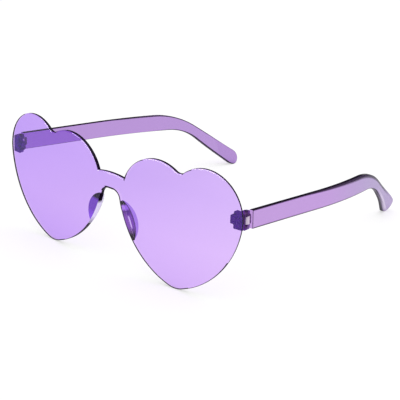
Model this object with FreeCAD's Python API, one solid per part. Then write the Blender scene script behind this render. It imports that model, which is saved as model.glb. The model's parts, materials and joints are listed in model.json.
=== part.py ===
import FreeCAD, Part
import math
import os

# Heart shaped sunglasses with a one-piece clear lens, open and standing on a table.
# Millimetres, +Z up. The front faces -Y and +X is the wearer's left.
# They stand on the two heart tips and the two temple tips. The origin is the middle of the
# box round them, at the height of the table.

# Lens sheet
lens_thickness = 2.0  # at its middle
lens_end_thickness = 1.1  # at its widest points
lens_bow_radius = 550.0  # plan radius of the front face
lens_tilt = 2.3  # degrees that the top leans back

# Heart outline, seen square to the lens. Heights are from the lens datum, level with the bridge.
heart_axis = 39.7  # the heart's centre line, from the middle of the nose
inner_lobe_radius = 21.1
inner_lobe_offset = 11.85  # lobe centre from the heart axis, towards the nose
inner_lobe_height = -1.5
outer_lobe_radius = 19.0
outer_lobe_offset = 15.0  # lobe centre from the heart axis, away from the nose
outer_lobe_height = 2.5
notch_radius = 4.0  # rounding of the notch between the lobes
tip_radius = 11.7
tip_height = -24.7  # centre of the rounded tip
outer_side_radius = 44.0
inner_side_radius = 44.3

# Bridge over the nose
bridge_top = 7.05
bridge_corner_height = 6.3  # where the bridge meets the inner lobe
nose_arch_top = -0.5
nose_corner_radius = 4.2
nose_corner_offset = 1.6  # centre of the rounded corner from the middle of the nose

# Hinge: two knuckles on the end piece, one on the temple, and a plain pin through all three
hinge_inset = 1.75  # hinge axis from the lens's widest point
hinge_height = 2.3
knuckle_radius = 1.5
pin_radius = 0.7
knuckle_stack = 7.8  # height of the three knuckles together
temple_knuckle_height = 3.6
knuckle_gap = 0.1
pin_clearance = 0.05  # in the temple's knuckle; the end piece grips the pin
fold_clearance = 0.2  # between the temple's knuckle and the end piece's plate

# End piece: a plate on the back of the lens with a tongue that points to the nose
plate_thickness = 1.9  # at the hinge axis
plate_inner_reach = 3.6  # from the hinge axis towards the nose
plate_outer_reach = 1.2
tongue_reach = 5.3
tongue_height = 3.9

# Temple: a flat strip that bows in towards the head, narrows and drops behind the ear
temple_height = 8.25  # at its front
temple_front_thickness = 2.2
temple_tail_thickness = 3.1
temple_gap = 1.75  # from the hinge axis to the temple's front face
temple_offset = 1.2  # the strip's middle from the hinge axis, at its front
temple_top_pitch = 5.88  # degrees down towards the ear
temple_bottom_pitch = 6.08
temple_splay = 2.3  # degrees in towards the head, before the bow
temple_bow_start = 48.0  # from the hinge axis
temple_bow_radius = 233.5
temple_tip_reach = 130.75  # from the hinge axis to the centre of the rounded tip
temple_tip_radius = 3.85
tail_top_drop = 37.2  # degrees
tail_bottom_drop = 42.6
bend_top_radius = 48.0
bend_bottom_radius = 29.0
temple_knuckle_web = 0.8  # inner side of the web between knuckle and strip, from the hinge axis

# Nose pad: a half-moon wedge on the back of the lens, along its nose edge
pad_top = -4.6
pad_bottom = -21.0
pad_width = 5.8
pad_ridge_out = 0.4  # ridge from the nose edge
pad_ridge_height = 2.7  # ridge behind the lens


def point(x, z):
    return FreeCAD.Vector(x, 0, z)


def unit(vector):
    return vector / vector.Length


def circles_meet(first, first_radius, second, second_radius, side):
    """One of the two points where two circles meet, left (1) or right (-1) of the line between them."""
    span = second - first
    along = (first_radius**2 - second_radius**2 + span.Length**2) / (2 * span.Length)
    across = math.sqrt(first_radius**2 - along**2)
    normal = point(-unit(span).z, unit(span).x)
    return first + unit(span) * along + normal * (side * across)


def beyond(start, centre, distance):
    """The point that lies a distance past a centre, on the line from start."""
    return centre + unit(centre - start) * distance


def arc(start, end, centre):
    """The shorter arc from start to end round a centre."""
    middle = centre + unit((start - centre) + (end - centre)) * start.distanceToPoint(centre)
    return Part.Arc(start, middle, end).toShape()


def line(start, end):
    return Part.LineSegment(start, end).toShape()


def face_of(edges):
    return Part.Face(Part.Wire(Part.sortEdges(edges)[0]))


def mirrored(shape):
    return shape.mirror(FreeCAD.Vector(0, 0, 0), FreeCAD.Vector(1, 0, 0))


# Centres of the arcs of the +X heart
inner_lobe = point(heart_axis - inner_lobe_offset, inner_lobe_height)
outer_lobe = point(heart_axis + outer_lobe_offset, outer_lobe_height)
tip = point(heart_axis, tip_height)
nose_corner = point(nose_corner_offset, nose_arch_top - nose_corner_radius)
outer_side = circles_meet(
    outer_lobe, outer_side_radius - outer_lobe_radius, tip, outer_side_radius - tip_radius, -1
)
inner_side = circles_meet(
    tip, inner_side_radius - tip_radius, nose_corner, inner_side_radius + nose_corner_radius, -1
)
lens_half_width = outer_lobe.x + outer_lobe_radius
lens_width = 2 * lens_half_width


def lens_outline():
    """The two hearts and the bridge as one face in the XZ plane."""
    corner_run = math.sqrt(inner_lobe_radius**2 - (bridge_corner_height - inner_lobe_height) ** 2)
    bridge_corner = point(inner_lobe.x - corner_run, bridge_corner_height)
    notch = circles_meet(
        inner_lobe, inner_lobe_radius + notch_radius, outer_lobe, outer_lobe_radius + notch_radius, 1
    )
    notch_start = inner_lobe + unit(notch - inner_lobe) * inner_lobe_radius
    notch_end = outer_lobe + unit(notch - outer_lobe) * outer_lobe_radius
    lobe_end = beyond(outer_side, outer_lobe, outer_lobe_radius)
    tip_start = beyond(outer_side, tip, tip_radius)
    tip_end = beyond(inner_side, tip, tip_radius)
    nose_start = nose_corner + unit(inner_side - nose_corner) * nose_corner_radius
    nose_end = nose_corner + point(0, nose_corner_radius)
    half = [
        arc(bridge_corner, notch_start, inner_lobe),
        arc(notch_start, notch_end, notch),
        arc(notch_end, lobe_end, outer_lobe),
        arc(lobe_end, tip_start, outer_side),
        arc(tip_start, tip_end, tip),
        arc(tip_end, nose_start, inner_side),
        arc(nose_start, nose_end, nose_corner),
    ]
    over = Part.Arc(bridge_corner, point(0, bridge_top), point(-bridge_corner.x, bridge_corner.z))
    under = line(nose_end, point(-nose_end.x, nose_end.z))
    return face_of(half + [mirrored(edge) for edge in half] + [over.toShape(), under])


def bow(x, radius):
    """How far a face of the bowed sheet falls back from its middle to x."""
    return radius - math.sqrt(radius**2 - x**2)


# The back is bowed less than the front, so the sheet thins towards its ends
back_fall = bow(lens_half_width, lens_bow_radius) + lens_end_thickness - lens_thickness
lens_back_radius = (lens_half_width**2 + back_fall**2) / (2 * back_fall)


def lens_back(x):
    """How far the sheet's back lies behind the middle of its front, at x."""
    return lens_thickness + bow(x, lens_back_radius)


def lens_cylinder(radius, middle):
    """Everything behind a bowed face, whose middle lies that far back."""
    base = FreeCAD.Vector(0, middle + radius, -lens_width)
    return Part.makeCylinder(radius, 2 * lens_width, base)


def behind_front():
    return lens_cylinder(lens_bow_radius, 0)


def behind_back():
    return lens_cylinder(lens_back_radius, lens_thickness)


def tilted(shape):
    """Leans a shape back with the lens."""
    leaning = shape.copy()
    leaning.rotate(FreeCAD.Vector(0, 0, 0), FreeCAD.Vector(1, 0, 0), -lens_tilt)
    return leaning


def raised(shape):
    """Lifts a shape from the lens datum to where it is when the heart tips touch the table."""
    lifted = shape.copy()
    lifted.translate(FreeCAD.Vector(0, 0, lens_height))
    return lifted


def make_lens():
    blank = lens_outline()
    blank.translate(FreeCAD.Vector(0, -lens_thickness, 0))
    depth = lens_back(lens_half_width) + 2 * lens_thickness
    prism = blank.extrude(FreeCAD.Vector(0, depth, 0))
    return tilted(prism.common(behind_front()).cut(behind_back()))


lens_at_datum = make_lens()
lens_height = -lens_at_datum.optimalBoundingBox(False, False).ZMin
behind_lens = raised(tilted(behind_back()))

# Hinge axis of the +X side, and the height of its middle above the table
axis_x = lens_half_width - hinge_inset
plate_back = lens_back(axis_x) + plate_thickness
axis_y = plate_back + fold_clearance + knuckle_radius
axis_z = lens_height + hinge_height
outer_knuckle_height = (knuckle_stack - temple_knuckle_height) / 2 - knuckle_gap
stack_bottom = axis_z - knuckle_stack / 2
stack_top = axis_z + knuckle_stack / 2


def box(x_range, y_range, z_range):
    corner = FreeCAD.Vector(x_range[0], y_range[0], z_range[0])
    sizes = [high - low for low, high in (x_range, y_range, z_range)]
    return Part.makeBox(*sizes, corner)


def upright(radius, bottom, height):
    """A cylinder on the hinge axis."""
    return Part.makeCylinder(radius, height, FreeCAD.Vector(axis_x, axis_y, bottom))


def make_end_piece():
    lens_front = -lens_thickness
    plate = box(
        (axis_x - plate_inner_reach, axis_x + plate_outer_reach),
        (lens_front, plate_back),
        (stack_bottom, stack_top),
    )
    tongue = box(
        (axis_x - tongue_reach, axis_x),
        (lens_front, plate_back),
        (axis_z - tongue_height / 2, axis_z + tongue_height / 2),
    )
    piece = plate.fuse(tongue).common(behind_lens)
    for bottom in (stack_bottom, stack_top - outer_knuckle_height):
        lug = box(
            (axis_x - knuckle_radius, axis_x + knuckle_radius),
            (plate_back - plate_thickness / 2, axis_y),
            (bottom, bottom + outer_knuckle_height),
        )
        piece = piece.fuse(lug).fuse(upright(knuckle_radius, bottom, outer_knuckle_height))
    return piece.cut(upright(pin_radius, stack_bottom, knuckle_stack)).removeSplitter()


def make_pin():
    return upright(pin_radius, stack_bottom, knuckle_stack)


def side_point(y, z):
    return FreeCAD.Vector(0, y, z)


def lines_meet(start, direction, other_start, other_direction):
    """Where two lines in the YZ plane meet."""
    gap = other_start - start
    cross = direction.y * other_direction.z - direction.z * other_direction.y
    run = (gap.y * other_direction.z - gap.z * other_direction.y) / cross
    return start + direction * run


def falling(degrees):
    """The direction that falls towards the ear at an angle."""
    return side_point(math.cos(math.radians(degrees)), -math.sin(math.radians(degrees)))


def bend(before, before_direction, after, after_direction, radius):
    """Start, end and centre of the arc that rounds the corner where two falling lines meet."""
    corner = lines_meet(before, before_direction, after, after_direction)
    turn = before_direction.getAngle(after_direction)
    run = radius * math.tan(turn / 2)
    start = corner - before_direction * run
    centre = start + side_point(before_direction.z, -before_direction.y) * radius
    return start, corner + after_direction * run, centre


def temple_side():
    """The temple seen from the side: a sloping strip, a bend and a tail with a round tip on the table."""
    front_y = axis_y + temple_gap
    top_front = side_point(front_y, axis_z + temple_height / 2)
    bottom_front = side_point(front_y, axis_z - temple_height / 2)
    tip_centre = side_point(axis_y + temple_tip_reach, temple_tip_radius)
    strip_top, strip_bottom = falling(temple_top_pitch), falling(temple_bottom_pitch)
    tail_top, tail_bottom = falling(tail_top_drop), falling(tail_bottom_drop)
    tip_top = tip_centre + side_point(-tail_top.z, tail_top.y) * temple_tip_radius
    tip_bottom = tip_centre - side_point(-tail_bottom.z, tail_bottom.y) * temple_tip_radius
    tip_end = tip_centre + unit(tail_top + tail_bottom) * temple_tip_radius
    top_start, top_end, top_centre = bend(top_front, strip_top, tip_top, tail_top, bend_top_radius)
    low_start, low_end, low_centre = bend(
        bottom_front, strip_bottom, tip_bottom, tail_bottom, bend_bottom_radius
    )
    return face_of([
        line(bottom_front, top_front),
        line(top_front, top_start),
        arc(top_start, top_end, top_centre),
        line(top_end, tip_top),
        Part.Arc(tip_top, tip_end, tip_bottom).toShape(),
        line(tip_bottom, low_end),
        arc(low_end, low_start, low_centre),
        line(low_start, bottom_front),
    ])


def bowed_edge(front_x, splay, radius):
    """One long side of the temple seen from above: straight from its front, then bowed to past the tip.
    Gives its front point, the start, middle and end of the bow, in that order."""
    front_y = axis_y + temple_gap
    start_y = axis_y + temple_bow_start
    end_y = axis_y + temple_tip_reach + 2 * temple_tip_radius
    lean = math.radians(splay)
    start_x = front_x - (start_y - front_y) * math.tan(lean)
    centre_x = start_x - radius * math.cos(lean)
    centre_y = start_y - radius * math.sin(lean)
    bow = []
    for y in (start_y, (start_y + end_y) / 2, end_y):
        bow.append(FreeCAD.Vector(centre_x + math.sqrt(radius**2 - (y - centre_y) ** 2), y, 0))
    return [FreeCAD.Vector(front_x, front_y, 0)] + bow


def temple_plan():
    """The temple seen from above, a strip that thickens towards the tail."""
    length = temple_tip_reach - temple_gap
    half_taper = math.degrees(math.atan((temple_tail_thickness - temple_front_thickness) / 2 / length))
    middle_x = axis_x + temple_offset
    half_front = temple_front_thickness / 2
    outer = bowed_edge(middle_x + half_front, temple_splay - half_taper, temple_bow_radius + half_front)
    inner = bowed_edge(middle_x - half_front, temple_splay + half_taper, temple_bow_radius - half_front)
    edges = [line(outer[0], inner[0]), line(outer[-1], inner[-1])]
    for front, bow_start, bow_middle, bow_end in (outer, inner):
        edges.append(line(front, bow_start))
        edges.append(Part.Arc(bow_start, bow_middle, bow_end).toShape())
    return face_of(edges)


def make_temple():
    side = temple_side().extrude(FreeCAD.Vector(lens_width, 0, 0))
    plan = temple_plan().extrude(FreeCAD.Vector(0, 0, axis_z + temple_height))
    knuckle_bottom = axis_z - temple_knuckle_height / 2
    web = box(
        (axis_x - temple_knuckle_web, axis_x + temple_offset),
        (axis_y, axis_y + temple_gap + temple_front_thickness / 2),
        (knuckle_bottom, knuckle_bottom + temple_knuckle_height),
    )
    temple = side.common(plan).fuse(web).fuse(upright(knuckle_radius, knuckle_bottom, temple_knuckle_height))
    bore = upright(pin_radius + pin_clearance, knuckle_bottom, temple_knuckle_height)
    return temple.cut(bore).removeSplitter()


def nose_edge(height):
    """The point of the heart's nose side at a height."""
    run = math.sqrt(inner_side_radius**2 - (height - inner_side.z) ** 2)
    return point(inner_side.x - run, height)


def make_nose_pad():
    top, bottom = nose_edge(pad_top), nose_edge(pad_bottom)
    middle = (top + bottom) / 2
    along = unit(bottom - top)
    outward = point(-along.z, along.x)
    # The rim is the circle through both ends that stands pad_width out from the nose edge
    half_length = (bottom - top).Length / 2
    far_side = middle - outward * (half_length**2 / pad_width)
    rim = face_of([Part.Circle(far_side, top, bottom).toShape()])
    back = FreeCAD.Vector(0, 1, 0)
    # The outer flank rises from the round rim to the ridge, and the nose flank from the nose edge to the
    # ridge. Each blank reaches from one rise before the lens's back face to one past the ridge.
    rises = 3
    seat = back * lens_back(middle.x)
    outer_rise = back * pad_ridge_height + outward * (pad_ridge_out - pad_width)
    nose_rise = back * pad_ridge_height + outward * pad_ridge_out
    rim.translate(seat - outer_rise)
    outer_blank = rim.extrude(outer_rise * rises)
    foot = top + seat - nose_rise - along * pad_width
    section = [foot, foot + nose_rise * rises, foot + outward * pad_width * rises, foot]
    nose_blank = Part.Face(Part.makePolygon(section)).extrude(along * 2 * (half_length + pad_width))
    return raised(tilted(outer_blank.common(nose_blank))).common(behind_lens).removeSplitter()


left = {
    "end_piece": make_end_piece(),
    "hinge_pin": make_pin(),
    "temple": make_temple(),
    "nose_pad": make_nose_pad(),
}
parts = {"lens_shield": raised(lens_at_datum)}
for name, shape in left.items():
    parts["left_" + name] = shape
    parts["right_" + name] = mirrored(shape)

extent = Part.makeCompound(list(parts.values())).optimalBoundingBox(False, False)
to_origin = FreeCAD.Vector(0, -(extent.YMin + extent.YMax) / 2, 0)
os.makedirs("parts", exist_ok=True)
for name, shape in parts.items():
    placed = shape.copy()
    placed.translate(to_origin)
    placed.exportStep("parts/" + name + ".step")
print("size", round(extent.XLength, 2), round(extent.YLength, 2), round(extent.ZLength, 2))
print("left hinge axis", round(axis_x, 4), round(axis_y + to_origin.y, 4), round(axis_z, 4))
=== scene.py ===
import json
import math

import bmesh
import bpy
from mathutils import Matrix, Vector


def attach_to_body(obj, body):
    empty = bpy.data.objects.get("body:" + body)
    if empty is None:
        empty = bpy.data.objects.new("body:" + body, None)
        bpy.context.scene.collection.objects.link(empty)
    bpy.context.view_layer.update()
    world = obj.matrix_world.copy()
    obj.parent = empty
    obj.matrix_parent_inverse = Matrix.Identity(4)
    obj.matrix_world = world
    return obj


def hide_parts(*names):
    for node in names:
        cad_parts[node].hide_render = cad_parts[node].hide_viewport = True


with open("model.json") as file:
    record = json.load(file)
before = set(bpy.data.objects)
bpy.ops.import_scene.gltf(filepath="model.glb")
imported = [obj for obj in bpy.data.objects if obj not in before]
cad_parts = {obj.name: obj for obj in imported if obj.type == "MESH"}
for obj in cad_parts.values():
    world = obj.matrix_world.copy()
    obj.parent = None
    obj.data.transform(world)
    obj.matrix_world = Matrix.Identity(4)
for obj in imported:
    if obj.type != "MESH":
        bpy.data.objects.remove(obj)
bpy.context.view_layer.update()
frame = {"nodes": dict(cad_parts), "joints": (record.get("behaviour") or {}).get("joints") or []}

bl_info = {
    "name": "Heart sunglasses",
    "version": (1, 0, 0),
    "blender": (4, 5, 0),
    "location": "View3D > Sidebar > Sunglasses",
    "description": "Makes the lens, temples, hinges and nose pads of clear heart shaped sunglasses",
    "category": "Object",
}

MM = 0.001
SIDES = ("left", "right")

# Lens sheet, as in the solids
LENS_THICKNESS = 2.0 * MM
LENS_END_THICKNESS = 1.1 * MM
LENS_BOW_RADIUS = 550.0 * MM
LENS_TILT = math.radians(2.3)

# Heart outline, seen square to the lens, from the lens datum
HEART_AXIS = 39.7 * MM
INNER_LOBE_RADIUS = 21.1 * MM
INNER_LOBE_OFFSET = 11.85 * MM
INNER_LOBE_HEIGHT = -1.5 * MM
OUTER_LOBE_RADIUS = 19.0 * MM
OUTER_LOBE_OFFSET = 15.0 * MM
OUTER_LOBE_HEIGHT = 2.5 * MM
NOTCH_RADIUS = 4.0 * MM
TIP_RADIUS = 11.7 * MM
TIP_HEIGHT = -24.7 * MM
OUTER_SIDE_RADIUS = 44.0 * MM
INNER_SIDE_RADIUS = 44.3 * MM
BRIDGE_TOP = 7.05 * MM
BRIDGE_CORNER_HEIGHT = 6.3 * MM
NOSE_ARCH_TOP = -0.5 * MM
NOSE_CORNER_RADIUS = 4.2 * MM
NOSE_CORNER_OFFSET = 1.6 * MM

# Hinge
HINGE_HEIGHT = 2.3 * MM
KNUCKLE_RADIUS = 1.5 * MM
PIN_RADIUS = 0.7 * MM
KNUCKLE_STACK = 7.8 * MM
TEMPLE_KNUCKLE_HEIGHT = 3.6 * MM
KNUCKLE_GAP = 0.1 * MM
PIN_CLEARANCE = 0.05 * MM
FOLD_CLEARANCE = 0.2 * MM
PLATE_THICKNESS = 1.9 * MM
PLATE_INNER_REACH = 3.6 * MM
PLATE_OUTER_REACH = 1.2 * MM
TONGUE_REACH = 5.3 * MM
TONGUE_HEIGHT = 3.9 * MM

# Temple
TEMPLE_HEIGHT = 8.25 * MM
TEMPLE_FRONT_THICKNESS = 2.2 * MM
TEMPLE_TAIL_THICKNESS = 3.1 * MM
TEMPLE_GAP = 1.75 * MM
TEMPLE_OFFSET = 1.2 * MM
TEMPLE_TOP_PITCH = 5.88
TEMPLE_BOTTOM_PITCH = 6.08
TEMPLE_SPLAY = math.radians(2.3)
TEMPLE_BOW_START = 48.0 * MM
TEMPLE_BOW_RADIUS = 233.5 * MM
TEMPLE_TIP_REACH = 130.75 * MM
TEMPLE_TIP_RADIUS = 3.85 * MM
TAIL_TOP_DROP = 37.2
TAIL_BOTTOM_DROP = 42.6
BEND_TOP_RADIUS = 48.0 * MM
BEND_BOTTOM_RADIUS = 29.0 * MM
TEMPLE_KNUCKLE_WEB = 0.8 * MM

# Shape of the tail, which the solids leave flat and sharp: its twist, and where its edges grow round
TAIL_TWIST = math.radians(22)
TAIL_TWIST_START = 114.0 * MM
TAIL_ROUND_START = 45.0 * MM
TAIL_ROUND_END = 100.0 * MM

# Nose pad
PAD_TOP = -4.6 * MM
PAD_BOTTOM = -21.0 * MM
PAD_WIDTH = 5.8 * MM
PAD_RIDGE_OUT = 0.4 * MM
PAD_RIDGE_HEIGHT = 2.7 * MM

# Fineness of the meshes
ARC_STEP = 0.6 * MM
LENS_STRIP = 3.0 * MM
TEMPLE_STRIP = 3.0 * MM
ROUNDING_STEPS = 3
KNUCKLE_STEP = 0.15 * MM
PAD_SECTIONS = 28
PAD_RIDGE_STEPS = 4
PAD_END = 0.995  # share of the half length where the pad's blunt ends lie
SHARP_ANGLE = math.radians(50)

# Across a nose pad: where its points lie, from its foot to its rim, and the side that ends at each of them
RIDGE_START = 0.45
RIDGE_SPAN = 0.1
RIDGE_SHARES = [RIDGE_START + RIDGE_SPAN * step / PAD_RIDGE_STEPS for step in range(PAD_RIDGE_STEPS + 1)]
PAD_SHARES = [0.0, *RIDGE_SHARES, 1.0]
PAD_BASE, PAD_NOSE, PAD_RIDGE, PAD_BROAD = range(4)
PAD_SIDES = [PAD_BASE, PAD_NOSE] + [PAD_RIDGE] * PAD_RIDGE_STEPS + [PAD_BROAD]

# Names of what the meshes keep at their points
PAD_ALONG = "pad_along"
PAD_ACROSS = "pad_across"
EDGE_INSET = "edge_inset"
EDGE_THROUGH = "edge_through"

# Materials of the lens and of the temples, by their places in the list
FACE, LINE, BAND, SEAT_LINE, SEAT = range(5)
TOP_ROUND, LOW_ROUND, TOP, LOW, KNUCKLE, WEB = range(1, 7)

# The lens's edges, seen square to the lens. An edge is painted as lit where it faces the lit way by more
# than a share, and painted in shade where it faces away from it by as much.
LIT_WAY = Vector((0.75, 0.66))
LIT_SHARE = 0.3
LEFT_SHALLOW = 0.8  # share by which the front rounding grows shallow where an edge faces left
SEAT_LINE_SHADE = 0.1  # light that the line beside a pad leaves

# The temples' edges
FRONT_END = 0.9  # an edge belongs to the front end where it faces forward by more than this
HAIRLINE = 0.3 * MM  # width of the dark line of painted shade along a rounded edge
TAIL_SHADE = 2.2 * MM  # the same at the left temple's bend, where it turns soft
LINE_CORE = 0.4  # share of a line's width that is fully dark

# Painted shade and painted sheen along those edges: their darkness, the widths of the dark lines, and the
# sheen. A row gives two values, and the places where each of them holds. The pairs of rows are for the right
# and the left temple, along Y. The single rows run through the strip.
TOP_LINE = (0.9, 0.3, 52 * MM, 64 * MM), (0.9, 0.1, 54 * MM, 63 * MM)
TOP_WIDTH = (HAIRLINE, 3 * HAIRLINE, -5 * MM, 20 * MM), (HAIRLINE, TAIL_SHADE, -25 * MM, 38 * MM)
TOP_EDGE = (1.0, 0.12, 12 * MM, 40 * MM), (1.0, 0.25, 55 * MM, 63 * MM)
LOW_LINE = (0.8, 0.95, 30 * MM, 50 * MM), (1.0, 0.3, 45 * MM, 60 * MM)
LOW_WIDTH = (HAIRLINE, 3 * HAIRLINE, 20 * MM, 40 * MM), (3 * HAIRLINE, 2 * HAIRLINE, 20 * MM, 40 * MM)
LOW_PAINTED_SHEEN = (0.0, 0.0, 0.0, MM), (0.0, 1.0, 44 * MM, 54 * MM)
INNER_LINE = (0.0, 0.95, 0.5, 0.7)
INNER_EDGE = (0.55, 1.0, 0.35, 0.65)

# Finishes
WHITE = (1.0, 1.0, 1.0)
BLACK = (0.0, 0.0, 0.0)
PLASTIC_INDEX = 1.5
EDGE_SPECULAR = 0.1
HINGE_SPECULAR = 0.15
HINGE_CLEAR = 0.5  # share of the hinge blocks that light passes
LENS_DEEPENS = (22 * MM, 46 * MM)  # heights between which painted shade deepens the lens's tint
TAIL_GREYS = (-5 * MM, 40 * MM)  # places along Y between which painted shade turns the left temple's tint grey

# Colours in a nose pad: black painted shade, painted light, painted shadows and grey shade along it, and
# its cement. Then the painted glint in it: where it starts, is full, fades and ends
PAD_SHADE_BLACK = (0.01, 0.005, 0.015)
PAD_PAINTED_LIGHT = (0.5, 0.28, 0.85)
PAD_SHADOW = (0.12, 0.03, 0.24)
PAD_HALF_SHADOW = (0.2, 0.07, 0.38)
PAD_GREY = (0.16, 0.09, 0.22)
PAD_CEMENT = (0.97, 0.96, 1.0)
PAINTED_GLINT_ALONG = (0.4, 0.44, 0.7, 0.75)
PAINTED_GLINT_ACROSS = (0.03, 0.06, 0.15, 0.2)

# Stage
FLOOR_REACH = 20.0
FLOOR_DROP = 0.02 * MM
KEY_SIZE = (1.4, 1.4)
KEY_PLACE = (0.15, 0.1, 0.9)
RIM_SIZE = (0.7, 0.5)
RIM_PLACE = (-0.42, -0.85, 0.32)
SENSOR_WIDTH = 36.0
NEAREST, FURTHEST = 0.01, 100.0
CLEAR_LAYERS = 24  # see-through faces that one ray may pass

joints = {joint["name"]: Vector(joint["pos_m"]) for joint in frame["joints"]}
HINGE = joints["left_temple_fold"]
CAMERA_TARGET = Vector((54.117 * MM, HINGE.y - 9.0235 * MM, HINGE.z + 6.3772 * MM))


def number_property(name, description, default, **kind):
    """A number that a user can set, with its unit or its limits."""
    return bpy.props.FloatProperty(name=name, description=description, default=default, **kind)


def length_property(name, description, default):
    """A length that a user can set."""
    return number_property(name, description, default, unit="LENGTH")


def angle_property(name, description, degrees):
    """An angle that a user can set."""
    return number_property(name, description, math.radians(degrees), subtype="ANGLE")


def tint_property(name, description, default):
    """A colour that a user can set."""
    return bpy.props.FloatVectorProperty(
        name=name, description=description, default=default, subtype="COLOR", min=0, max=1
    )


class SunglassesSizes(bpy.types.PropertyGroup):
    """Sizes of the fine shapes that the solids leave sharp."""

    lens_edge: length_property("Lens edge", "Rounding of the front edge, across the sheet", 0.5 * MM)
    bridge_edge: length_property("Bridge edge", "Rounding of the front edge under the bridge", 0.95 * MM)
    lens_lit_edge: length_property("Lit lens edge", "Rounding of the front edge where it is lit", 1.0 * MM)
    lens_depth: length_property("Lens edge depth", "Rounding of the front edge, through the sheet", 0.4 * MM)
    lens_back_edge: length_property("Lens back edge", "Rounding of the lens's back edge", 0.12 * MM)
    # The dark line along the lens's front is painted shade
    lens_line: length_property("Lens edge line", "Depth of the dark line along the lens's front", 0.9 * MM)
    temple_edge: length_property("Temple edge", "The temples' rounding, across the strip", 0.6 * MM)
    temple_depth: length_property("Temple edge depth", "The temples' rounding, through the strip", 0.3 * MM)
    tail_edge: length_property("Tail edge", "The tails' rounding, across the strip", 1.7 * MM)
    tail_depth: length_property("Tail edge depth", "The tails' rounding, through the strip", 0.9 * MM)
    temple_back_edge: length_property("Temple inner edge", "The temples' rounding, on the inside", 0.2 * MM)
    tail_back_edge: length_property("Tail inner edge", "The tails' rounding, on the inside", 0.5 * MM)
    fitting_edge: length_property("Hinge edge", "Rounding along the hinge blocks' edges", 0.12 * MM)
    corner: length_property("Corners", "Radius of the hinge blocks' corners", 0.4 * MM)
    pad_ridge: length_property("Pad ridge", "Rounding of the nose pads' ridge", 0.5 * MM)
    seat_gap: length_property("Cement", "Film of clear cement on the lens's back", 0.03 * MM)


class SunglassesColours(bpy.types.PropertyGroup):
    """Colours of the clear plastics and of the pins. A clear one is the light that one face lets through."""

    # The lens's tint runs from the left end to a right end that painted shade deepens; lens_top is painted
    # shade too
    lens_left: tint_property("Left lens", "Clear tint at the lens's left end", (0.86, 0.72, 0.98))
    lens_right: tint_property("Right lens", "Clear tint at the lens's right end", (0.762, 0.602, 0.972))
    lens_top: tint_property("Lens top", "Shade that deepens the top of the lens", (0.945, 0.94, 0.985))
    # The right temple's deeper tint and the left tail's greyer tint are painted shade on the same plastic
    temple_left: tint_property("Left temple", "Clear tint of the left temple", (0.725, 0.56, 0.838))
    temple_right: tint_property("Right temple", "Clear tint of the right temple", (0.68, 0.529, 0.808))
    temple_tail: tint_property("Tail", "Clear tint of the left temple's tail", (0.655, 0.575, 0.775))
    # Painted sheen: pale light along the left tail's lower edge
    tail_painted_sheen: tint_property("Tail sheen", "Pale light along the left tail's lower edge", (0.93, 0.9, 0.94))
    # Painted shade: the nearly black colour of the cut edges
    edge: tint_property("Cut edges", "Depth of colour along the cut edges", (0.006, 0.003, 0.01))
    fitting: tint_property("Left hinge block", "Moulded violet of the left block", (0.15, 0.055, 0.23))
    # Painted shade: the right block's colour is deeper than the left's
    fitting_right: tint_property("Right hinge block", "Moulded violet of the right block", (0.2, 0.025, 0.4))
    glow_left: tint_property("Left hinge glow", "Clear tint of the left block", (0.36, 0.1, 0.7))
    # Painted shade: the right block's clear tint differs from the left's
    glow_right: tint_property("Right hinge glow", "Clear tint of the right block", (0.42, 0.06, 0.62))
    # Also gives the blocks' lower knuckles their paler colour, which is painted light
    knuckle: tint_property("Temple knuckles", "Milky violet of the knuckles", (0.7, 0.57, 0.74))
    pad_left: tint_property("Left pad", "Clear tint of the left pad's broad flank", (0.55, 0.41, 0.83))
    # Painted shade: the right pad's flank is deeper than the left's
    pad_right: tint_property("Right pad", "Clear tint of the right pad's broad flank", (0.25, 0.11, 0.54))
    pad_nose: tint_property("Pad nose side", "Deep violet of the pads' nose flanks", (0.27, 0.11, 0.46))
    # Pale violet that the pads' nose flanks and the lens edge beside them show from outside
    pad_pale_outside: tint_property("Pad frost", "Pale frosting on the pads' nose flanks", (0.76, 0.68, 0.95))
    pin: tint_property("Pins", "Burnished steel of the hinge pins", (0.2, 0.19, 0.22))


class SunglassesStudio(bpy.types.PropertyGroup):
    """The floor, the light and the camera."""

    floor_glow: number_property("Floor glow", "Light that the floor gives by itself", 0.55, min=0)
    floor_white: number_property("Floor white", "Share of light that the floor scatters", 0.43, min=0, max=1)
    sky: number_property("Surround", "Strength of the white surround", 0.85, min=0)
    dim_sky: number_property("Mirrored surround", "Strength of the surround in reflections", 0.03, min=0)
    dim_floor: number_property("Mirrored floor", "Share of floor glow in reflections", 0.3, min=0, max=1)
    key_power: number_property("Key light", "Power of the large light overhead", 5.0, unit="POWER", min=0)
    rim_power: number_property(
        "Rim light", "Power of the low light that glints along the lens's edges", 8.0, unit="POWER", min=0
    )
    azimuth: angle_property("Camera azimuth", "Turn of the camera from straight ahead", 42.62)
    elevation: angle_property("Camera elevation", "Height of the camera above level", 21.1)
    roll: angle_property("Camera roll", "Lean of the camera", 0.61)
    distance: length_property("Camera distance", "From the point that it looks at", 552.3 * MM)
    lens: number_property("Focal length", "Of the camera's own lens", 119.23, unit="CAMERA", min=1)


def heart_point(x, z):
    """A point of the hearts, seen square to the lens."""
    return Vector((x, z))


def circles_meet(first, first_radius, second, second_radius, side):
    """One of the two points where two circles meet, left (1) or right (-1) of the line between them."""
    span = second - first
    along = (first_radius**2 - second_radius**2 + span.length_squared) / (2 * span.length)
    across = math.sqrt(first_radius**2 - along**2)
    ahead = span.normalized()
    return first + ahead * along + Vector((-ahead.y, ahead.x)) * (side * across)


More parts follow.
